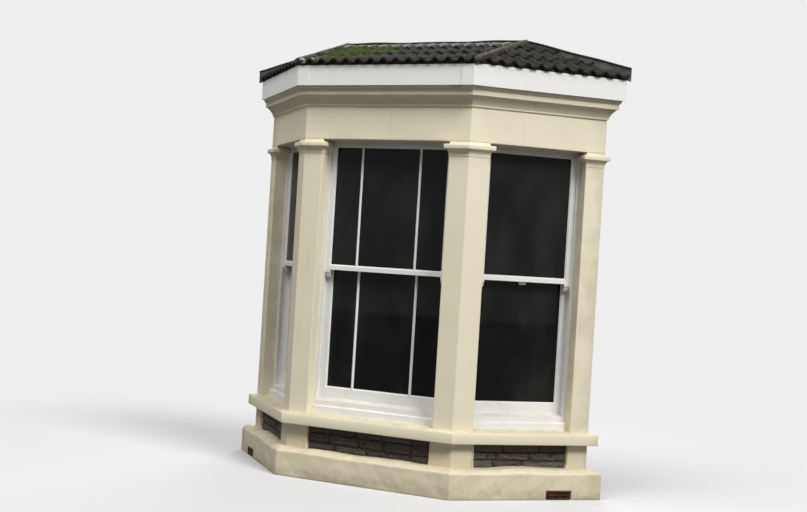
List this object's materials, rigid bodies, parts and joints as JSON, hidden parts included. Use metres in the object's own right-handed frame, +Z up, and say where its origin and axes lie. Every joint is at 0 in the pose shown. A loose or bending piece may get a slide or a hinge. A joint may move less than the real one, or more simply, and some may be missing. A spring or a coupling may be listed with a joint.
{
  "type": "canted bay window",
  "caption": "Canted bay window with cream pilasters, frieze and cornice, white sash windows, stone apron, rendered plinth and a low hipped tile roof, cut off at the house wall.",
  "frame": {"origin": "on the ground, below the middle of the bounding box", "axes": "+X along the house wall to the right as seen from the street, -Y out of the house, +Z up"},
  "size_m": [3.4236, 1.035, 3.628],
  "materials": {
    "painted_render": "smooth masonry paint, cream",
    "pennant_stone": "coursed rubble, dark grey-brown",
    "terracotta": "unglazed red clay",
    "white_board": "white fascia board, satin",
    "roof_tile": "weathered dark clay, mossy",
    "lead": "dull grey sheet",
    "timber": "sawn softwood",
    "floor_boards": "planed boards",
    "plaster": "painted plaster",
    "window_paint": "white gloss paint",
    "glass": "clear float glass, dark room behind"
  },
  "bodies": {
    "root": {"plinth": "painted_render", "air_bricks": "terracotta", "pier_bases": "painted_render", "stone_front": "pennant_stone", "stone_right": "pennant_stone", "stone_left": "pennant_stone", "sill_front": "painted_render", "sill_right": "painted_render", "sill_left": "painted_render", "shaft_corner_right": "painted_render", "shaft_corner_left": "painted_render", "shaft_wall_right": "painted_render", "shaft_wall_left": "painted_render", "capitals": "painted_render", "frieze_front": "painted_render", "frieze_right": "painted_render", "frieze_left": "painted_render", "cornice": "painted_render", "fascia_front": "white_board", "fascia_right": "white_board", "fascia_left": "white_board", "fascia_covers": "white_board", "roof_front": "roof_tile", "roof_right": "roof_tile", "roof_left": "roof_tile", "hip_tiles": "roof_tile", "flashing": "lead", "roof_timbers": "timber", "inner_leaf": "plaster", "frame_front": "window_paint", "upper_sash_front": "window_paint", "lower_sash_front": "window_paint", "glass_front": "glass", "frame_right": "window_paint", "upper_sash_right": "window_paint", "lower_sash_right": "window_paint", "glass_right": "glass", "frame_left": "window_paint", "upper_sash_left": "window_paint", "lower_sash_left": "window_paint", "glass_left": "glass", "window_board": "window_paint", "bay_floor": "floor_boards", "bay_ceiling": "plaster"}
  },
  "joints": []
}
